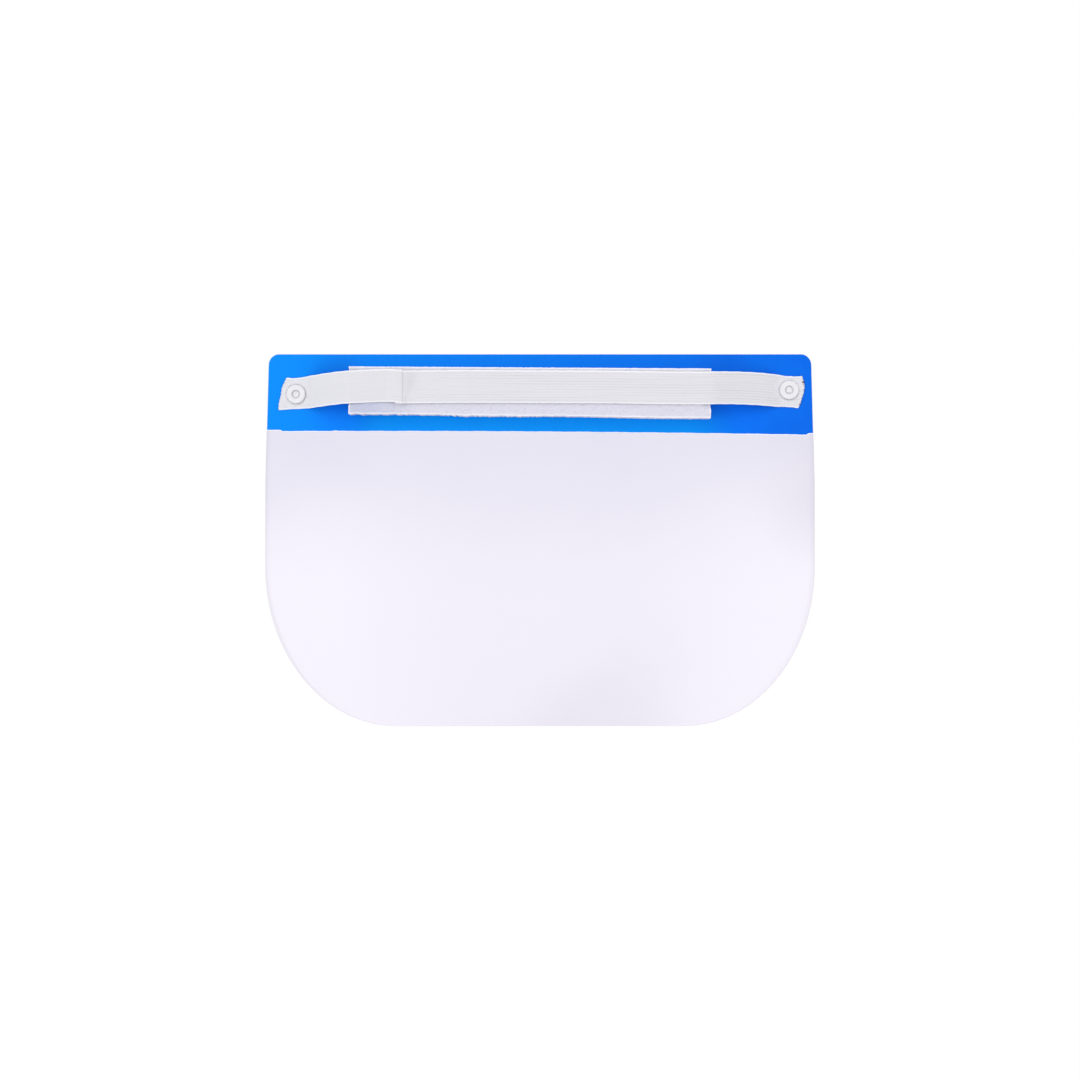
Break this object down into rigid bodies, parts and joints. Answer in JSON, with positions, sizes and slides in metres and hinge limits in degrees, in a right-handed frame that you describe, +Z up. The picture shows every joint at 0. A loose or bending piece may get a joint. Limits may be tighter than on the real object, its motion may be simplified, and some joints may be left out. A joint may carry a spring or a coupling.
{
  "type": "disposable face shield",
  "caption": "Clear rectangular visor with rounded lower corners, a coloured header band, a foam forehead strip and an elastic head strap held by plastic snap rivets.",
  "frame": {"origin": "on the foam's inner face, where it meets the forehead, at half the foam's height and on the sheet's centre line", "axes": "+X along the width to the wearer's right, +Y the way the wearer looks, +Z up"},
  "size_m": [0.322, 0.0256, 0.218],
  "materials": {
    "clear_sheet": "gloss",
    "blue_film": "satin",
    "adhesive_tape": "satin",
    "foam": "matte",
    "elastic": "matte",
    "white_plastic": "gloss"
  },
  "bodies": {
    "visor": {"visor_sheet": "clear_sheet", "header_band": "blue_film", "foam_tape": "adhesive_tape", "forehead_foam": "foam", "strap_left_tab": "elastic", "strap_right_tab": "elastic"},
    "strap_middle": {"strap_middle": "elastic"},
    "strap_left_span": {"strap_left_span": "elastic"},
    "strap_right_span": {"strap_right_span": "elastic"},
    "left_rivet": {"left_cap": "white_plastic", "left_stud": "white_plastic"},
    "right_rivet": {"right_cap": "white_plastic", "right_stud": "white_plastic"}
  },
  "joints": [
    {"name": "strap_pull", "type": "slide", "parent": "visor", "child": "strap_middle", "axis": [0, -1, 0], "range_m": [0, 0.12], "stiffness_N_per_m": 30, "springref_m": -0.005},
    {"name": "left_span_swing", "type": "hinge", "parent": "visor", "child": "strap_left_span", "pos_m": [-0.13695, 0.0197, -0.0003], "axis": [0, 0, -1], "range_deg": [0, 40]},
    {"name": "right_span_swing", "type": "hinge", "parent": "visor", "child": "strap_right_span", "pos_m": [0.13995, 0.0197, 0.0008], "axis": [0, 0, 1], "range_deg": [0, 40]},
    {"name": "left_rivet_spin", "type": "hinge", "parent": "visor", "child": "left_rivet", "pos_m": [-0.143, 0.0204, -0.0008], "axis": [0, 1, 0], "continuous": true},
    {"name": "right_rivet_spin", "type": "hinge", "parent": "visor", "child": "right_rivet", "pos_m": [0.146, 0.0204, 0.0017], "axis": [0, 1, 0], "continuous": true}
  ],
  "couplings": [
    {"joint": "left_span_swing", "follows": "strap_pull", "rad_per_m": 5.8},
    {"joint": "right_span_swing", "follows": "strap_pull", "rad_per_m": 5.8}
  ]
}
